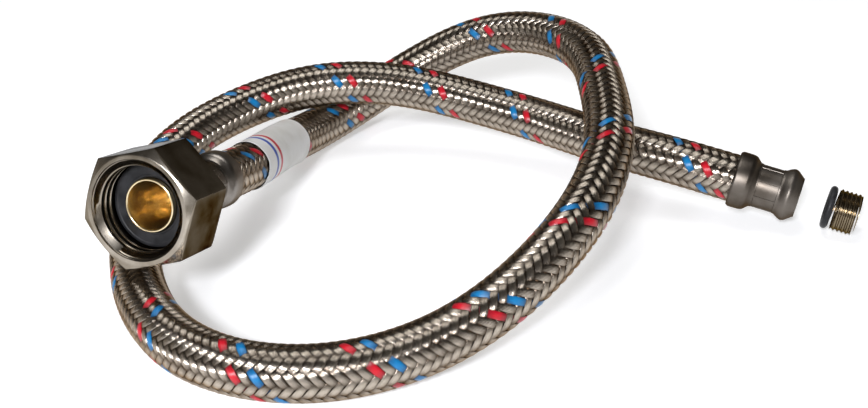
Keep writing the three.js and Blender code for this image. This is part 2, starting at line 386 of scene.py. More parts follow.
def turned_metal(name, place, dark, light, edge, roughness, mark_depth, dent_depth, painted_dark_area=None):
    """Bright metal with rings from the lathe about the axis of one end.

    edge is how much of a glancing reflection comes back. The depths are in mm. The last argument
    is a radius and a height in mm: surfaces outside the one and below the other get a tint, which
    is a painted dark reflection.
    """
    material = new_finish(name, light, 1.0, sum(roughness) / 2)
    inputs = shader_inputs(material)
    inputs["Specular Tint"].default_value = (*edge, 1)
    coordinates = add(material, "ShaderNodeTexCoord").outputs["Object"]
    local = add(material, "ShaderNodeMapping", vector_type="TEXTURE")
    local.inputs["Location"].default_value = place.to_translation()
    local.inputs["Rotation"].default_value = place.to_euler()
    join(material, coordinates, local.inputs["Vector"])
    split = add(material, "ShaderNodeSeparateXYZ")
    join(material, local.outputs["Vector"], split.inputs[0])
    height = split.outputs["Z"]
    flat = add(material, "ShaderNodeCombineXYZ")
    join(material, split.outputs["X"], flat.inputs["X"])
    join(material, split.outputs["Y"], flat.inputs["Y"])
    length = add(material, "ShaderNodeVectorMath", operation="LENGTH")
    join(material, flat.outputs[0], length.inputs[0])
    radius = length.outputs["Value"]
    rings = add(material, "ShaderNodeCombineXYZ")
    join(material, radius, rings.inputs["X"])
    join(material, height, rings.inputs["Z"])
    ring_noise = noise(material, rings.outputs[0], RING_SCALE, detail=2.0)
    clouds = noise(material, coordinates, CLOUD_SCALE, detail=4.0)
    dent_noise = noise(material, coordinates, DENT_SCALE, detail=4.0)
    colour = colours_by(material, clouds, [(DARK_AT, dark), (LIGHT_AT, light)])
    # the nut's outer faces get a painted dark reflection, outside a radius and below a height
    if painted_dark_area is not None:
        from_radius, to_height = (limit * MM for limit in painted_dark_area)
        outside = map_range(material, radius, from_radius, from_radius + OUTER_FADE * MM)
        in_front = map_range(material, height, to_height, to_height + OUTER_FADE * MM)
        share = calculate(material, "SUBTRACT", outside, in_front, clamp=True)
        colour = multiplied(material, colour, (*PAINTED_DARK_REFLECTION, 1), share)
    join(material, colour, inputs["Base Color"])
    join(material, spread(material, clouds, *roughness), inputs["Roughness"])
    dents = bump(material, dent_noise, dent_depth, DENT_STRENGTH)
    marks = bump(material, ring_noise, mark_depth, RING_STRENGTH, dents)
    join(material, marks, inputs["Normal"])
    return material


nut_nickel = turned_metal(
    "nut_nickel", NUT_END, dark=(0.22, 0.187, 0.145), light=(0.38, 0.34, 0.285),
    edge=(0.15, 0.14, 0.13), roughness=(0.15, 0.25), mark_depth=0.0012, dent_depth=0.004,
    painted_dark_area=(11.0, 33.2),
)
stem_nickel = turned_metal(
    "stem_nickel", STEM_END, dark=(0.16, 0.125, 0.08), light=(0.25, 0.205, 0.14),
    edge=(0.3, 0.25, 0.18), roughness=(0.14, 0.26), mark_depth=0.0012, dent_depth=0.004,
)
nut_ferrule_steel = turned_metal(
    "nut_ferrule_steel", NUT_END, dark=(0.15, 0.13, 0.11), light=(0.25, 0.23, 0.21),
    edge=(0.4, 0.34, 0.28), roughness=(0.24, 0.36), mark_depth=0.0014, dent_depth=0.008,
)
# The stem-side ferrule is the same steel as the nut-side one; its darker colours are painted shade.
stem_ferrule_shaded_steel = turned_metal(
    "stem_ferrule_shaded_steel", STEM_END, dark=(0.09, 0.076, 0.062), light=(0.16, 0.142, 0.124),
    edge=(0.4, 0.33, 0.27), roughness=(0.36, 0.48), mark_depth=0.0014, dent_depth=0.008,
)
brass = turned_metal(
    "polished_brass", NUT_END, dark=(0.60, 0.47, 0.27), light=(0.84, 0.72, 0.47),
    edge=(0.9, 0.78, 0.55), roughness=(0.17, 0.23), mark_depth=0.0004, dent_depth=0.0,
)

# %% [markdown]
# The jacket's bands are bright on top and dark and brownish where they dive under others; that
# dark brown is painted shade, and noise adds stains and streaks. The mesh carries an attribute
# named lift, which is 1 on top and -1 underneath. Across a band, the UV map says which wire one is
# on.

# %% Woven finishes
WIRES_IN_BAND = 7
# The wave texture turns by this many radians for one unit of its vector
WAVE_TURN = 20.0
HIGHLIGHT_ACROSS = 0.8
STAIN_SCALE = 220
STREAK_SCALE = 2.0
STREAK_STRETCH = 0.6
SCRATCH_SCALE = 2600
SCRATCH_DEPTH = 0.02
SCRATCH_STRENGTH = 0.5
WIRE_STRENGTH = 0.9
# Weight of stains and streaks beside the lift, which paints the shade, and the range of the whole
STAIN_WEIGHT = 0.9
SHADE_AND_STAIN_LOW = 0.5
SHADE_AND_STAIN_HIGH = 2.0


def woven_finish(name, metallic, roughness, under_shade_colour, top_colour, wire_depth, edge=WHITE):
    """Bands of wires side by side, with one colour on top and a painted shade underneath."""
    material = new_finish(name, top_colour, metallic, roughness)
    inputs = shader_inputs(material)
    inputs["Specular Tint"].default_value = (*edge, 1)
    # drawn wires spread a highlight across themselves and keep it short lengthwise
    inputs["Anisotropic"].default_value = HIGHLIGHT_ACROSS
    tangent = add(material, "ShaderNodeTangent", direction_type="UV_MAP", uv_map="UVMap")
    join(material, tangent.outputs["Tangent"], inputs["Tangent"])
    lift = add(material, "ShaderNodeAttribute", attribute_name="lift").outputs["Fac"]
    coordinates = add(material, "ShaderNodeTexCoord")
    stain = noise(material, coordinates.outputs["Object"], STAIN_SCALE, detail=4.0)
    # single wires differ too, so a noise drawn out along the band is added
    stretched = add(material, "ShaderNodeMapping", vector_type="POINT")
    stretched.inputs["Scale"].default_value = (WIRES_IN_BAND, STREAK_STRETCH, 1)
    join(material, coordinates.outputs["UV"], stretched.inputs["Vector"])
    streaks = noise(material, stretched.outputs["Vector"], STREAK_SCALE, detail=1.0)
    both = calculate(material, "ADD", stain, streaks)
    # the lift paints shade where a band dives under others; stains and streaks vary it at random
    mixed = calculate(material, "MULTIPLY_ADD", both, STAIN_WEIGHT, lift)
    middle = tuple((a + b) / 2 for a, b in zip(under_shade_colour, top_colour))
    shade = map_range(material, mixed, SHADE_AND_STAIN_LOW, SHADE_AND_STAIN_HIGH)
    stops = [(0.1, under_shade_colour), (0.5, middle), (0.85, top_colour)]
    join(material, colours_by(material, shade, stops), inputs["Base Color"])
    wires = add(material, "ShaderNodeTexWave", wave_type="BANDS", bands_direction="X")
    wires.inputs["Scale"].default_value = 2 * pi * WIRES_IN_BAND / WAVE_TURN
    join(material, coordinates.outputs["UV"], wires.inputs["Vector"])
    scratches = noise(material, coordinates.outputs["Object"], SCRATCH_SCALE, detail=2.0)
    uneven = bump(material, scratches, SCRATCH_DEPTH, SCRATCH_STRENGTH)
    ridges = bump(material, wires.outputs["Fac"], wire_depth, WIRE_STRENGTH, uneven)
    join(material, ridges, inputs["Normal"])
    return material


# The steel's brownish edge tint is a painted reflection: glancing reflections come back dim and
# brown.
wire_steel = woven_finish(
    "steel_wire", 1.0, 0.26, under_shade_colour=(0.04, 0.024, 0.013), top_colour=(0.46, 0.405, 0.34),
    wire_depth=0.035, edge=(0.48, 0.36, 0.26),
)
blue_strand = woven_finish(
    "blue_strand", 0.0, 0.28, under_shade_colour=(0.003, 0.04, 0.11), top_colour=(0.006, 0.17, 0.40),
    wire_depth=0.03,
)
red_strand = woven_finish(
    "red_strand", 0.0, 0.28, under_shade_colour=(0.13, 0.004, 0.008), top_colour=(0.52, 0.008, 0.02),
    wire_depth=0.03,
)

# %% [markdown]
# Rubber is nearly black and dull, and a cut or moulded face is never quite smooth.

# %% Rubber
RUBBER_GRAIN_SCALE = 1800
RUBBER_GRAIN_STRENGTH = 0.7
DUST_SCALE = 300
DUST_GAIN = 2.2
DUST_COLOUR = 0.004
RUBBER_SPECULAR = 0.22


def rubber(name, colour, roughness, grain_depth):
    """Dull rubber with a grain whose depth is in mm, and a little dust."""
    material = new_finish(name, colour, 0.0, sum(roughness) / 2)
    inputs = shader_inputs(material)
    coordinates = add(material, "ShaderNodeTexCoord").outputs["Object"]
    grain = noise(material, coordinates, RUBBER_GRAIN_SCALE, detail=5.0)
    dust = noise(material, coordinates, DUST_SCALE, detail=4.0)
    pale = tuple(DUST_GAIN * c + DUST_COLOUR for c in colour)
    join(material, colours_by(material, dust, [(0.4, colour), (0.75, pale)]), inputs["Base Color"])
    join(material, spread(material, dust, *roughness), inputs["Roughness"])
    join(material, bump(material, grain, grain_depth, RUBBER_GRAIN_STRENGTH), inputs["Normal"])
    inputs["Specular IOR Level"].default_value = RUBBER_SPECULAR
    return material


under_rubber = rubber("under_rubber", (0.022, 0.018, 0.015), (0.5, 0.7), 0.03)
seal_rubber = rubber("seal_rubber", (0.011, 0.011, 0.012), (0.36, 0.55), 0.015)

# %% [markdown]
# The white film is thin plastic: it has a soft gloss, faint creases, and a plain red and a
# plain blue line round it instead of any print.

# %% Film
PAPER = (0.78, 0.78, 0.76)
BLUE_LINE = (0.03, 0.08, 0.42)
RED_LINE = (0.55, 0.02, 0.04)
# Colours along the film, each from a share of its width to the next
FILM_COLOURS = [
    (0.0, PAPER), (0.16, BLUE_LINE), (0.2, PAPER), (0.25, RED_LINE), (0.29, PAPER),
]
SOIL_SCALE = 130
SOIL_TINT = (0.86, 0.85, 0.82)
CREASE_SCALE = 420
CREASE_DEPTH = 0.12
CREASE_STRENGTH = 0.5

white_film = new_finish("white_film", (0.80, 0.80, 0.78), 0.0, 0.38)
inputs = shader_inputs(white_film)
coordinates = add(white_film, "ShaderNodeTexCoord")
along = add(white_film, "ShaderNodeSeparateXYZ")
join(white_film, coordinates.outputs["UV"], along.inputs[0])
lines = colours_by(white_film, along.outputs["X"], FILM_COLOURS)
lines.node.color_ramp.interpolation = "CONSTANT"
soil = noise(white_film, coordinates.outputs["Object"], SOIL_SCALE, detail=5.0)
soiled = colours_by(white_film, soil, [(0.35, SOIL_TINT), (0.6, WHITE)])
join(white_film, multiplied(white_film, lines, soiled, 1.0), inputs["Base Color"])
creases = noise(white_film, coordinates.outputs["Object"], CREASE_SCALE, detail=3.0)
join(white_film, bump(white_film, creases, CREASE_DEPTH, CREASE_STRENGTH), inputs["Normal"])
print("finishes", [m.name for m in bpy.data.materials])

# %% [markdown]
# ## Under-layer of the jacket
# Between the wires one looks onto dark rubber. A slim tube just under the weave gives that
# depth.

# %% Under-layer
UNDER_RADIUS = 5.3
UNDER_SIDES = 24
UNDER_STEPS = 240
under_angles = [2 * pi * j / UNDER_SIDES for j in range(UNDER_SIDES)]
under_points = []
for k in range(UNDER_STEPS + 1):
    here = frame_at(HOSE_LENGTH * k / UNDER_STEPS)
    under_points += [around(here, UNDER_RADIUS, angle) for angle in under_angles]
under_faces = tube_faces(0, UNDER_STEPS, UNDER_SIDES)
under_layer = mesh_object("hose_under_layer", under_points, under_faces)
finish_piece(under_layer, under_rubber, "hose")

# %% [markdown]
# ## Woven jacket
# Twelve bands of fine wire run round the hose one way and twelve the other way, and each
# passes over two and under two. The bands are made one by one, as flat strips with curved
# tops whose height rises and falls with the crossings. One blue and one red band mark the hose.

# %% Weave values
# Lengths in mm
BANDS_EACH_WAY = 12
BAND_WIDTH = 1.70
BAND_THICKNESS = 0.22
WEAVE_RADIUS = 5.5
WEAVE_RISE = 0.19
SAMPLES_PER_TURN = 48
WEAVE_START = 0.2
# Turns made by the marker band at chosen distances along the hose
MARKER_TURNS = [
    (0, -0.022), (40, 1.389), (80, 2.832), (120, 4.294), (160, 5.652), (200, 6.848),
    (240, 8.076), (280, 9.507), (320, 11.133), (360, 12.805), (400, 14.395), (440, 15.95),
    (480, 17.516), (520, 19.054), (560, 20.608), (600, 22.183),
]
MARKER_DISTANCES = [(turns, distance) for distance, turns in MARKER_TURNS]
BLUE_BAND = 0
RED_BAND = 10


def read_off(table, value):
    """Read a table of pairs at a value, with straight lines between the pairs."""
    for (a0, b0), (a1, b1) in zip(table, table[1:]):
        if value <= a1:
            return b0 + (b1 - b0) * (value - a0) / (a1 - a0)
    return table[-1][1]


print("turns of a band:", round(read_off(MARKER_TURNS, HOSE_LENGTH), 2))

# %% One band
# Shape across a band: place across it (-1 to 1) and height (0 to 1)
BAND_SECTION = [(-1.0, 0.0), (-0.8, 0.7), (-0.3, 1.0), (0.3, 1.0), (0.8, 0.7), (1.0, 0.0)]
# Turns to either side over which the lead is measured
LEAD_REACH = 0.02
UV_PER_TURN = 30
# How much less lift the edge of a band has than its middle
EDGE_FALL = 0.5
CROSSINGS_PER_TURN = 2 * BANDS_EACH_WAY


def weave_height(crossing):
    """Height of a band from 1 to -1: a plain wave, up over two crossings and down under two."""
    return cos(pi * (crossing - 0.5) / 2)


def band(points, faces, uvs, lifts, direction, index):
    """Add one band to the lists. direction is 1 for a right-hand turn, -1 for a left-hand one."""
    start = WEAVE_START
    end = HOSE_LENGTH - WEAVE_START
    first = read_off(MARKER_TURNS, start)
    last = read_off(MARKER_TURNS, end)
    steps = int((last - first) * SAMPLES_PER_TURN)
    faces += tube_faces(len(points), steps, len(BAND_SECTION))
    for k in range(steps + 1):
        turns = first + (last - first) * k / steps
        here = frame_at(min(max(read_off(MARKER_DISTANCES, turns), start), end))
        angle = 2 * pi * (direction * turns + index / BANDS_EACH_WAY)
        # a band meets another every 1/24 turn, and its neighbour does the same two later
        crossing = turns * CROSSINGS_PER_TURN
        if direction > 0:
            height = weave_height(crossing + 2 * index)
        else:
            height = weave_height(2 * index - crossing - 2)
        ahead = read_off(MARKER_DISTANCES, turns + LEAD_REACH)
        behind = read_off(MARKER_DISTANCES, turns - LEAD_REACH)
        lead = (ahead - behind) / (2 * LEAD_REACH)
        rise = atan2(2 * pi * WEAVE_RADIUS, lead)
        for across_band, up in BAND_SECTION:
            shift = across_band * BAND_WIDTH / 2
            along = -shift * sin(rise) * direction
            turn = angle + shift * cos(rise) / WEAVE_RADIUS
            radius = WEAVE_RADIUS + WEAVE_RISE * height + BAND_THICKNESS * (up - 0.5)
            points.append(around(here, radius, turn, along))
            uvs.append((across_band / 2 + 0.5, turns * UV_PER_TURN))
            lifts.append(height * (1 - EDGE_FALL * across_band ** 2))


# %% Woven pieces
STEEL_BANDS = [k for k in range(BANDS_EACH_WAY) if k not in (BLUE_BAND, RED_BAND)]
WEAVE_SMOOTH = 60


def woven_piece(name, direction, indices, material):
    """All bands of one colour that turn the same way, as one piece of the hose."""
    points, faces, uvs, lifts = [], [], [], []
    for index in indices:
        band(points, faces, uvs, lifts, direction, index)
    obj = mesh_object(name, points, faces)
    lift = obj.data.attributes.new("lift", "FLOAT", "POINT")
    lift.data.foreach_set("value", lifts)
    lay_uvs(obj, uvs)
    finish_piece(obj, material, "hose", WEAVE_SMOOTH)
    return obj


weave = [
    woven_piece("weave_right", 1, STEEL_BANDS, wire_steel),
    woven_piece("weave_left", -1, range(BANDS_EACH_WAY), wire_steel),
    woven_piece("weave_blue", 1, [BLUE_BAND], blue_strand),
    woven_piece("weave_red", 1, [RED_BAND], red_strand),
]
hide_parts("wire_braid")

# %% [markdown]
# ## Tools for turned pieces
# All the fittings are turned on a lathe. By hand one draws half of the cross-section as a
# line of vertices and spins it about the axis. Extruding one vertex again and again draws the
# line, a vertex bevel rounds its corners, and Spin makes the solid.

# %% Draw and turn a profile
ROUND_STEPS = 96
ROUNDING_STEPS = 4
# Distances in metres at which vertices are merged, and at which a corner is found again
MERGE_REACH = 1e-7
CORNER_REACH = 2e-6


def choose(obj, kind, test):
    """Select, in edit mode, only the vertices, edges or faces that pass a test."""
    bpy.ops.mesh.select_mode(type=kind)
    bpy.ops.mesh.select_all(action="DESELECT")
    mesh = bmesh.from_edit_mesh(obj.data)
    parts = {"VERT": mesh.verts, "EDGE": mesh.edges, "FACE": mesh.faces}[kind]
    chosen = [part for part in parts if test(part)]
    for part in chosen:
        part.select_set(True)
    mesh.select_flush_mode()
    bmesh.update_edit_mesh(obj.data)
    return len(chosen)


def off_axis(point):
    """Distance of a point from the upright axis."""
    return hypot(point.x, point.y)


def merge_doubles():
    """Merge doubled vertices, and leave everything selected."""
    bpy.ops.mesh.select_all(action="SELECT")
    bpy.ops.mesh.remove_doubles(threshold=MERGE_REACH)
    bpy.ops.mesh.select_all(action="SELECT")


def drawn(name, profile, closed=True):
    """Draw a line of (radius, height) or (radius, height, rounding) corners, in mm."""
    bpy.ops.mesh.primitive_plane_add(size=MM)
    obj = bpy.context.object
    obj.name = name
    bpy.ops.object.mode_set(mode="EDIT")
    bpy.ops.mesh.select_mode(type="VERT")
    bpy.ops.mesh.select_all(action="SELECT")
    bpy.ops.mesh.merge(type="CENTER")
    place = Vector((0, 0, 0))
    stops = [Vector((corner[0], 0, corner[1])) for corner in profile]
    for number, stop in enumerate(stops + (stops[:1] if closed else [])):
        step = tuple((stop - place) * MM)
        if number == 0:
            bpy.ops.transform.translate(value=step)
        else:
            bpy.ops.mesh.extrude_vertices_move(TRANSFORM_OT_translate={"value": step})
        place = stop
    merge_doubles()
    for size in sorted({corner[2] for corner in profile if len(corner) > 2}):
        spots = [Vector((c[0], 0, c[1])) * MM for c in profile if len(c) > 2 and c[2] == size]
        choose(obj, "VERT", lambda v: any((v.co - spot).length < CORNER_REACH for spot in spots))
        bpy.ops.mesh.bevel(offset=size * MM, segments=ROUNDING_STEPS, affect="VERTICES")
    return obj


def mend(obj):
    """Merge doubled vertices and turn all faces outwards."""
    merge_doubles()
    bpy.ops.mesh.normals_make_consistent(inside=False)
    bpy.ops.object.mode_set(mode="OBJECT")
    return obj


def turned(name, profile):
    """Spin a closed profile all the way round the Z axis."""
    obj = drawn(name, profile)
    bpy.ops.mesh.select_all(action="SELECT")
    bpy.ops.mesh.spin(steps=ROUND_STEPS, angle=2 * pi, center=(0, 0, 0), axis=(0, 0, 1))
    return mend(obj)


# %% [markdown]
# A screw thread is one groove wound round and round. The Screw modifier winds the shape of
# one pitch. Two bisections then cut the coil off flat and fill the cuts, so that it is a solid.

# %% Screw thread
# Turns wound below and above the ones that are kept
SPARE_TURNS = 2


def threaded_core(name, half, pitch, low, high):
    """A solid core whose outside is a thread, from one height to another, in mm.

    half has the corners of the first half of a pitch, as (radius, share of the pitch).
    """
    base = low - SPARE_TURNS * pitch
    whole = half + [(radius, 1 - share) for radius, share in reversed(half)]
    corners = [(radius, base + share * pitch) for radius, share in whole]
    obj = drawn(name, corners, closed=False)
    bpy.ops.object.mode_set(mode="OBJECT")
    modify(
        obj, "SCREW", axis="Z", angle=2 * pi, screw_offset=pitch * MM,
        iterations=int((high - low) / pitch) + 2 * SPARE_TURNS,
        steps=ROUND_STEPS, render_steps=ROUND_STEPS,
    )
    bpy.ops.object.mode_set(mode="EDIT")
    merge_doubles()
    cut = {"plane_no": (0, 0, 1), "use_fill": True}
    bpy.ops.mesh.bisect(plane_co=(0, 0, low * MM), clear_inner=True, **cut)
    bpy.ops.mesh.select_all(action="SELECT")
    bpy.ops.mesh.bisect(plane_co=(0, 0, high * MM), clear_outer=True, **cut)
    return mend(obj)


# %% Join, cut and place
def shaped_by(obj, tool, operation):
    """Apply a Boolean with another piece, and delete that piece."""
    modify(obj, "BOOLEAN", operation=operation, solver="EXACT", object=tool)
    bpy.data.objects.remove(tool, do_unlink=True)


def move_to(obj, place):
    """Move a finished piece to its end of the hose, with the place in its mesh."""
    pick(obj)
    obj.matrix_world = place
    bpy.ops.object.transform_apply(location=True, rotation=True, scale=True)


# %% [markdown]
# ## Union nut
# The nut starts as a hexagonal bar 24 mm across its flats. Its edges are broken a little, and
# the ends are turned to a cone, which gives the curved lines where a flat meets the chamfer.
# Bevelling cannot draw those curves, so the blank is crossed with a turned body instead. The
# bore has a real G 1/2 thread, because one looks straight into it.

# %% Hexagonal bar
# A hexagon's corner lies this far round from the middle of a flat
HALF_SIDE = radians(30)


def hexagon_bar(name, across_flats, low, high, corner_angle, edge_break):
    """An upright hexagonal bar with its long edges broken."""
    bpy.ops.mesh.primitive_cylinder_add(
        vertices=6, radius=across_flats / 2 / cos(HALF_SIDE) * MM, depth=(high - low) * MM,
        location=(0, 0, (low + high) / 2 * MM), rotation=(0, 0, radians(corner_angle - 30)),
    )
    obj = bpy.context.object
    obj.name = name
    bpy.ops.object.transform_apply(location=True, rotation=True, scale=True)
    bpy.ops.object.mode_set(mode="EDIT")
    upright = choose(obj, "EDGE", lambda e: abs(e.verts[0].co.z - e.verts[1].co.z) > MM)
    bpy.ops.mesh.bevel(offset=edge_break * MM, segments=3)
    bpy.ops.object.mode_set(mode="OBJECT")
    print(name, "has", upright, "long edges")
    return obj


# %% Nut blank
NUT_BACK = 20.6
NUT_FRONT = 34.6
NUT_FLATS = 24.0
NUT_CORNER_ANGLE = 15
NUT_EDGE_BREAK = 0.18
NUT_RIM_RADIUS = 11.7
BACK_CHAMFER_IN = 0.65
BACK_CHAMFER_UP = 0.45
PAST_CORNER = 0.1
PAST_CONE = 0.06
nut_corner = NUT_FLATS / 2 / cos(HALF_SIDE)
front_cone = (nut_corner - NUT_RIM_RADIUS) * tan(HALF_SIDE)
nut = hexagon_bar("nut_body", NUT_FLATS, NUT_BACK, NUT_FRONT, NUT_CORNER_ANGLE, NUT_EDGE_BREAK)
nut_envelope = turned("nut_envelope", [
    (0, NUT_BACK), (nut_corner - BACK_CHAMFER_IN, NUT_BACK, 0.15),
    (nut_corner + PAST_CORNER, NUT_BACK + BACK_CHAMFER_UP),
    (nut_corner + PAST_CORNER, NUT_FRONT - front_cone - PAST_CONE),
    (NUT_RIM_RADIUS, NUT_FRONT, 0.2), (0, NUT_FRONT),
])
shaped_by(nut, nut_envelope, "INTERSECT")

# %% Nut bore
G_HALF_PITCH = 1.814
G_HALF_ROOT = 10.48
G_HALF_CREST = 9.34
THREAD_FROM = 28.9
SHOULDER_AT = 23.6
BACK_HOLE_RADIUS = 6.4
BACK_HOLE_LIP = 6.8
RELIEF_RADIUS = 9.9
MOUTH_RADIUS = 10.75
MOUTH_EDGE_RADIUS = MOUTH_RADIUS + 0.12
# How far a cutter reaches past the piece that it cuts
PAST_END = 1
nut_bore = turned("nut_bore", [
    (0, NUT_BACK - PAST_END), (BACK_HOLE_LIP, NUT_BACK - PAST_END), (BACK_HOLE_LIP, NUT_BACK),
    (BACK_HOLE_RADIUS, NUT_BACK + 0.4), (BACK_HOLE_RADIUS, SHOULDER_AT),
    (RELIEF_RADIUS, SHOULDER_AT, 0.3), (RELIEF_RADIUS, THREAD_FROM - 0.4),
    (G_HALF_CREST, THREAD_FROM + 0.2), (G_HALF_CREST, NUT_FRONT - 1.3),
    (MOUTH_RADIUS, NUT_FRONT - 0.35, 0.1), (MOUTH_EDGE_RADIUS, NUT_FRONT),
    (MOUTH_EDGE_RADIUS, NUT_FRONT + PAST_END), (0, NUT_FRONT + PAST_END),
])
shaped_by(nut, nut_bore, "DIFFERENCE")

# %% Nut thread
# The thread's corners are rounded off
BELOW_CREST = G_HALF_CREST - 0.02
CREST_CORNER = G_HALF_CREST + 0.12
ROOT_CORNER = G_HALF_ROOT - 0.12
nut_thread = threaded_core("nut_thread", [
    (BELOW_CREST, 0), (BELOW_CREST, 0.08), (CREST_CORNER, 0.14), (ROOT_CORNER, 0.42),
    (G_HALF_ROOT, 0.48),
], G_HALF_PITCH, THREAD_FROM - 0.3, NUT_FRONT + 0.5)
shaped_by(nut, nut_thread, "DIFFERENCE")
move_to(nut, NUT_END)
finish_piece(nut, nut_nickel, "nut", 28)
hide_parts("union_nut")

# %% [markdown]
# ## Brass insert
# The insert carries the nut on its flange and pushes through the washer with a short tube.
# Its bore opens as a polished cone, so the profile is drawn with a rounded lip and spun. Its
# tail has six barbs that hold the rubber tube, and the stem's tail has the same ones.

# %% Barbed tail
TAIL_FROM = 1.0
TAIL_TO = 14.35
TAIL_LIP_RADIUS = 2.2
BARB_RADIUS = 2.75
NECK_RADIUS = 2.3
SHANK_RADIUS = 3.0
BARBS = 6
BARB_PITCH = 2.2
NECK_FROM = 1.05
barbs = [(TAIL_LIP_RADIUS, TAIL_FROM)]
for k in range(1, BARBS + 1):
    barbs += [(BARB_RADIUS, TAIL_FROM + BARB_PITCH * k), (NECK_RADIUS, NECK_FROM + BARB_PITCH * k)]
barbs += [(NECK_RADIUS, TAIL_TO), (SHANK_RADIUS, TAIL_TO)]
print("barbs", BARBS)

# %% Insert
COLLAR_RADIUS = 6.0
COLLAR_FROM = 16.0
FLANGE_RADIUS = 9.2
FLANGE_FROM = 23.9
FLANGE_TO = 25.7
SPIGOT_RADIUS = 5.78
SPIGOT_END = 29.7
LIP_RADIUS = 5.32
CONE_RADIUS = 4.95
THROAT_RADIUS = 3.1
THROAT_AT = 18.2
BORE_RADIUS = 1.95
BORE_END = 16.2
insert = turned("insert_turned", barbs + [
    (SHANK_RADIUS, COLLAR_FROM), (COLLAR_RADIUS, COLLAR_FROM, 0.15), (COLLAR_RADIUS, FLANGE_FROM),
    (FLANGE_RADIUS, FLANGE_FROM, 0.1), (FLANGE_RADIUS, FLANGE_TO, 0.1),
    (SPIGOT_RADIUS, FLANGE_TO), (SPIGOT_RADIUS, SPIGOT_END, 0.16), (LIP_RADIUS, SPIGOT_END, 0.14),
    (CONE_RADIUS, SPIGOT_END - 1.4, 0.5), (THROAT_RADIUS, THROAT_AT, 0.6),
    (BORE_RADIUS, BORE_END), (BORE_RADIUS, TAIL_FROM),
])
move_to(insert, NUT_END)
finish_piece(insert, brass, "hose")
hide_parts("nut_insert")

# %% [markdown]
# ## Flat washer
# A washer stamped from sheet rubber has square edges that have only just lost their sharpness.
# Near its edges the front stands up a little round a shallow pressed ring.

# %% Washer
WASHER_HOLE = 5.86
WASHER_RADIUS = 9.3
WASHER_BACK = 26.0
WASHER_FRONT = 28.5
PRESSED_FACE = 28.36
washer = turned("washer_cut", [
    (WASHER_HOLE, WASHER_BACK, 0.1), (WASHER_RADIUS, WASHER_BACK, 0.1),
    (WASHER_RADIUS, 28.4, 0.3), (8.6, WASHER_FRONT, 0.2), (8.45, PRESSED_FACE, 0.1),
    (6.5, PRESSED_FACE, 0.1), (6.35, WASHER_FRONT, 0.2), (WASHER_HOLE, 28.42, 0.2),
])
move_to(washer, NUT_END)
finish_piece(washer, seal_rubber, "hose")
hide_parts("flat_washer")

# %% [markdown]
# ## Crimped ferrules
# A ferrule is a thin steel cup. Eight jaws press its middle on to the hose and leave eight
# shallow panels with narrow ridges between them. The cup is turned, the panels are chosen by
# their angle, and one inset with a negative depth presses them all in.

# %% Ferrule
CRIMP_RADIUS = 5.33
PANEL_LOW = 5.7
PANEL_HIGH = 10.75
SLEEVE_BORE = 6.1
CRIMP_BORE = 4.75
STOP_BORE = 3.3
CUP_FLOOR = 14.65
CUP_END = 15.7
ferrule = turned("ferrule_nut_side", [
    (6.4, 0, 0.1), (6.78, 0.5, 0.2), (6.8, 2.4, 1.0), (6.66, 3.9, 0.6), (5.95, 4.55, 0.3),
    (CRIMP_RADIUS, 5.25, 0.3), (CRIMP_RADIUS, PANEL_LOW), (CRIMP_RADIUS, PANEL_HIGH),
    (CRIMP_RADIUS, 11.2, 0.3), (6.0, 12.2, 0.5), (6.33, 13.1, 0.3), (6.1, 13.9, 0.4),
    (CRIMP_BORE, 15.55, 0.1), (CRIMP_BORE, CUP_END), (STOP_BORE, CUP_END),
    (STOP_BORE, CUP_FLOOR), (CRIMP_BORE, CUP_FLOOR), (CRIMP_BORE, 4.9),
    (SLEEVE_BORE, 3.7), (SLEEVE_BORE, 0),
])

# %% Pressed panels
JAWS = 8
RIDGE_ANGLE = 4
PANEL_EDGE = 0.09
PANEL_DEPTH = 0.13
bpy.ops.object.mode_set(mode="EDIT")


def in_panel(face):
    """True on the outside of the crimped middle, except on the ridges."""
    middle = face.calc_center_median() / MM
    turn = (degrees(atan2(middle.y, middle.x)) - RIDGE_ANGLE) % (360 / JAWS)
    outside = off_axis(middle) > CRIMP_RADIUS - 0.1
    return outside and PANEL_LOW < middle.z < PANEL_HIGH and turn > 360 / ROUND_STEPS


print("panel faces", choose(ferrule, "FACE", in_panel))
bpy.ops.mesh.inset(thickness=PANEL_EDGE * MM, depth=-PANEL_DEPTH * MM)
bpy.ops.object.mode_set(mode="OBJECT")

# %% Second ferrule
other_ferrule = ferrule.copy()
other_ferrule.data = ferrule.data.copy()
other_ferrule.name = "ferrule_stem_side"
bpy.context.collection.objects.link(other_ferrule)
move_to(ferrule, NUT_END)
move_to(other_ferrule, STEM_END)
finish_piece(ferrule, nut_ferrule_steel, "hose", 35)
finish_piece(other_ferrule, stem_ferrule_shaded_steel, "hose", 35)
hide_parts("nut_ferrule")
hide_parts("m10_ferrule")

# %% [markdown]
# ## Threaded stem
# The stem screws into the tap by hand and is tightened with a spanner on its flats. It is
# turned first, the six flats are cut by crossing it with a hexagonal bar, and an M10 x 1
# thread, a little shallow, is wound, chamfered by a turned body and joined on. The bore comes last.

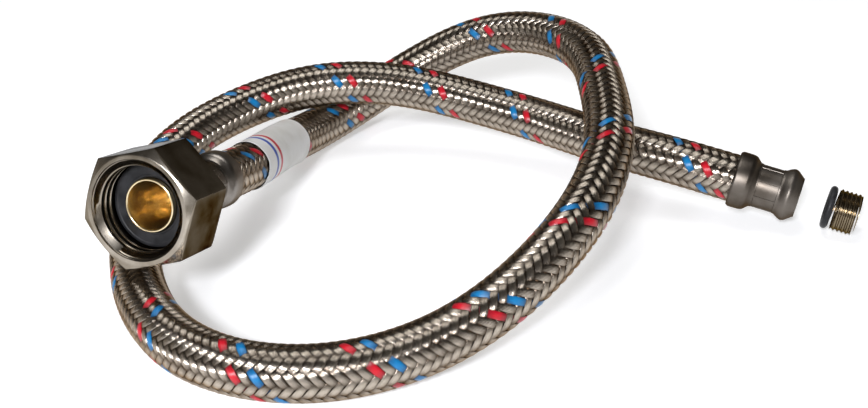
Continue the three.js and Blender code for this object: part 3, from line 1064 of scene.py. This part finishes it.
# %% Stem body
STEM_RADIUS = 5.0
FLATS_FROM = 15.74
FLATS_TO = 20.0
STEM_FLATS = 9.0
COLLAR_END = 21.7
GROOVE_RADIUS = 3.35
GROOVE_END = 23.9
THREAD_NECK_RADIUS = 4.6
THREAD_NECK_END = 24.6
STEM_CORNER_ANGLE = 22
STEM_EDGE_BREAK = 0.01
stem = turned("stem_body", [(0, TAIL_FROM)] + barbs + [
    (SHANK_RADIUS, FLATS_FROM), (STEM_RADIUS, FLATS_FROM, 0.1), (STEM_RADIUS, COLLAR_END, 0.12),
    (GROOVE_RADIUS, COLLAR_END, 0.2), (GROOVE_RADIUS, GROOVE_END, 0.2),
    (THREAD_NECK_RADIUS, GROOVE_END, 0.1), (THREAD_NECK_RADIUS, THREAD_NECK_END),
    (0, THREAD_NECK_END),
])
CUTTER_RADIUS = 7
CUTTER_FROM = FLATS_FROM - 0.15
flat_cutter = turned("flat_cutter", [
    (0, CUTTER_FROM), (CUTTER_RADIUS, CUTTER_FROM), (CUTTER_RADIUS, FLATS_TO), (0, FLATS_TO),
])
flat_bar = hexagon_bar("flat_bar", STEM_FLATS, FLATS_FROM - PAST_END, FLATS_TO + PAST_END,
                       STEM_CORNER_ANGLE, STEM_EDGE_BREAK)
shaped_by(flat_cutter, flat_bar, "DIFFERENCE")
shaped_by(stem, flat_cutter, "DIFFERENCE")

# %% Stem thread
STEM_TIP = 30.2
M10_PITCH = 1.0
M10_CREST = 4.95
M10_ROOT = 4.58
M10_SHOULDER = M10_CREST - 0.04
stem_thread = threaded_core("stem_thread", [
    (M10_ROOT, 0), (M10_ROOT, 0.1), (M10_SHOULDER, 0.4), (M10_CREST, 0.46),
], M10_PITCH, GROOVE_END + 0.1, STEM_TIP)
PAST_CREST = M10_CREST + 0.1
thread_envelope = turned("thread_envelope", [
    (0, GROOVE_END), (M10_ROOT, GROOVE_END), (PAST_CREST, GROOVE_END + 0.65),
    (PAST_CREST, STEM_TIP - 1.5), (4.62, STEM_TIP - 0.65, 0.5), (3.8, STEM_TIP, 0.25),
    (0, STEM_TIP),
])
shaped_by(stem_thread, thread_envelope, "INTERSECT")
shaped_by(stem, stem_thread, "UNION")

# %% Stem bore
WIDE_BORE = 2.6
WIDE_BORE_FROM = 20.7
TIP_BORE = 3.3
stem_bore = turned("stem_bore", [
    (0, 0), (BORE_RADIUS, 0), (BORE_RADIUS, WIDE_BORE_FROM), (WIDE_BORE, COLLAR_END),
    (WIDE_BORE, STEM_TIP - 0.6), (TIP_BORE, STEM_TIP + 0.1), (TIP_BORE, STEM_TIP + PAST_END),
    (0, STEM_TIP + PAST_END),
])
shaped_by(stem, stem_bore, "DIFFERENCE")
move_to(stem, STEM_END)
finish_piece(stem, stem_nickel, "hose", 28)
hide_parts("m10_stem")

# %% [markdown]
# ## O-ring
# A moulded ring shows a fine line round its outside, where the two halves of the mould met.
# The ring's outermost edge loop is bevelled and its middle pushed out to make that line.

# %% O-ring
RING_RADIUS = 4.3
RING_SECTION = 0.85
RING_HEIGHT = 22.8
MOULD_LINE_WIDTH = 0.06
MOULD_LINE_PUSH = 1.006
bpy.ops.mesh.primitive_torus_add(
    location=(0, 0, RING_HEIGHT * MM), major_segments=ROUND_STEPS, minor_segments=24,
    major_radius=RING_RADIUS * MM, minor_radius=RING_SECTION * MM,
)
ring = bpy.context.object
ring.name = "o_ring_moulded"
bpy.ops.object.transform_apply(location=True, rotation=True, scale=True)
bpy.ops.object.mode_set(mode="EDIT")
outermost = (RING_RADIUS + RING_SECTION) * MM
choose(ring, "EDGE", lambda e: all(off_axis(v.co) > outermost - CORNER_REACH for v in e.verts))
bpy.ops.mesh.bevel(offset=MOULD_LINE_WIDTH * MM, segments=2)
choose(ring, "VERT", lambda v: off_axis(v.co) > outermost - MERGE_REACH)
bpy.ops.transform.resize(
    value=(MOULD_LINE_PUSH, MOULD_LINE_PUSH, 1), center_override=(0, 0, RING_HEIGHT * MM),
)
bpy.ops.object.mode_set(mode="OBJECT")
move_to(ring, STEM_END)
finish_piece(ring, seal_rubber, "hose", 50)
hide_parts("o_ring")

# %% [markdown]
# ## White wrap
# A strip of white film is wound once round the hose and sticks to itself, so it has a start, a
# lapped end and a little slack. It is a sheet rolled round the route, with a slow ripple, and
# Solidify gives it its thickness.

# %% Wrap values
# Lengths in mm
WRAP_FROM = 17.0
WRAP_TO = 46.5
WRAP_RADIUS = 5.93
WRAP_TURNS = 1.09
WRAP_LAP = 0.16
WRAP_THICKNESS = 0.1
WRAP_SEAM = radians(200)
WRAP_ROWS = 60
WRAP_COLUMNS = 110
SLOW_RIPPLE = 0.04
QUICK_RIPPLE = 0.02
EDGE_FLARE = 0.06
EDGE_SLANT = 0.25
INNER_SLANT = 0.6


def wrap_radius(u, v, angle):
    """Radius of the film at shares u of its width and v of its length."""
    ripple = SLOW_RIPPLE * sin(3 * angle + 5 * u) * sin(pi * u)
    ripple += QUICK_RIPPLE * sin(7 * angle)
    from_edge = min(u, 1 - u) * 2
    flare = EDGE_FLARE * (1 - from_edge) ** 6 * (1 + sin(5 * angle))
    return WRAP_RADIUS + WRAP_LAP * v + ripple * (1 - v ** 8) + flare


# %% Wrap
points, faces, uvs = [], [], []
for i in range(WRAP_ROWS + 1):
    u = i / WRAP_ROWS
    here = frame_at(WRAP_FROM + (WRAP_TO - WRAP_FROM) * u)
    slant_share = 1 if i in (0, WRAP_ROWS) else INNER_SLANT
    for j in range(WRAP_COLUMNS + 1):
        v = j / WRAP_COLUMNS
        angle = WRAP_SEAM + 2 * pi * WRAP_TURNS * v
        slant = EDGE_SLANT * sin(angle + 1) * slant_share
        points.append(around(here, wrap_radius(u, v, angle), angle, slant))
        uvs.append((u, v))
row = WRAP_COLUMNS + 1
for i in range(WRAP_ROWS):
    for j in range(WRAP_COLUMNS):
        a = i * row + j
        faces.append((a, a + 1, a + 1 + row, a + row))
wrap = mesh_object("wrap_film", points, faces)
lay_uvs(wrap, uvs)
modify(wrap, "SOLIDIFY", thickness=WRAP_THICKNESS * MM, offset=0)
finish_piece(wrap, white_film, "hose")
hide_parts("label")

# %% [markdown]
# A list of points follows the hose's whole route, from one crimped sleeve to the other.

PATH_STEPS = 300
path = [tuple(frame_at(HOSE_LENGTH * k / PATH_STEPS)[0] * MM) for k in range(PATH_STEPS + 1)]

# %% [markdown]
# ## Finish on the tube
# The inner tube is hidden, so its fitted solid stays and only gets the rubber.

# %% Inner tube
inner_tube = bpy.data.objects["inner_tube"]
for slot in inner_tube.material_slots:
    slot.material = under_rubber
print("inner_tube:", under_rubber.name)

# %% [markdown]
# ## Floor and light
# The hose lies on a white floor, under a surround that darkens overhead and three soft lamps.

# %% Floor
# Size in metres, drop in mm
FLOOR_SIZE = 8
FLOOR_DROP = 0.2
bpy.ops.mesh.primitive_plane_add(size=FLOOR_SIZE, location=(0, 0, -FLOOR_DROP * MM))
floor = bpy.context.object
floor.name = "floor"
floor_paint = new_finish("floor_paint", (0.80, 0.80, 0.80), 0.0, 0.9)
floor.data.materials.append(floor_paint)

# %% [markdown]
# The paper in the picture is pure white. More lamps would bleach the hose too, so the floor
# glows a little instead, and only for the camera, for mirror-like reflections and through
# clear things. The glow is added to the paint, so the shadow on the floor stays.

# %% Floor glow
FLOOR_GLOW = 0.44
light_path = add(floor_paint, "ShaderNodeLightPath").outputs
seen = calculate(floor_paint, "ADD", light_path["Is Camera Ray"], light_path["Is Glossy Ray"])
seen_through = calculate(floor_paint, "ADD", seen, light_path["Is Transmission Ray"], clamp=True)
inputs = shader_inputs(floor_paint)
glow = calculate(floor_paint, "MULTIPLY", seen_through, FLOOR_GLOW)
join(floor_paint, glow, inputs["Emission Strength"])
inputs["Emission Color"].default_value = (*WHITE, 1)
print("floor glow", FLOOR_GLOW)

# %% [markdown]
# The surround is pale near the horizon and dark overhead, like a studio with pale walls.
# Metal needs that contrast to look like metal, and the soft lamps then show in it as highlights.

# %% Surround
HORIZON_LIGHT = 0.5
CEILING_LIGHT = 0.07
# Heights of a direction, from 0 at the horizon to 1 overhead
HORIZON_TO = 0.05
CEILING_FROM = 0.4
WALL_COLOUR = (1.0, 0.95, 0.88)
world = bpy.data.worlds.new("studio")
bpy.context.scene.world = world
world.use_nodes = True
background = world.node_tree.nodes["Background"].inputs
background["Color"].default_value = (*WALL_COLOUR, 1)
split = add(world, "ShaderNodeSeparateXYZ")
join(world, add(world, "ShaderNodeTexCoord").outputs["Generated"], split.inputs[0])
strength = map_range(world, split.outputs["Z"], HORIZON_TO, CEILING_FROM,
                     HORIZON_LIGHT, CEILING_LIGHT)
join(world, strength, background["Strength"])
print("surround", HORIZON_LIGHT, "to", CEILING_LIGHT)

# %% Lamps
FLASH_COLOUR = (0.92, 0.94, 1.0)


def soft_lamp(name, place, target, size, power, colour=WHITE):
    """A square lamp that shines at a target; metres and watts."""
    data = bpy.data.lights.new(name, "AREA")
    data.color = colour
    data.size = size
    data.energy = power
    lamp = bpy.data.objects.new(name, data)
    lamp.location = place
    lamp.rotation_euler = (Vector(target) - Vector(place)).to_track_quat("-Z", "Y").to_euler()
    bpy.context.collection.objects.link(lamp)


soft_lamp("overhead", (-0.1, 0.12, 0.7), (0, 0, 0), size=0.4, power=2.0)
soft_lamp("front", (0.06, -0.6, 0.4), (0, 0, 0.02), size=0.1, power=4.6, colour=FLASH_COLOUR)
soft_lamp("front_left", (-0.13, -0.56, 0.28), (-0.05, 0, 0.02), size=0.1, power=1.6,
          colour=FLASH_COLOUR)
bpy.context.scene.view_settings.view_transform = "Standard"
print("lamps", [light.name for light in bpy.data.lights])
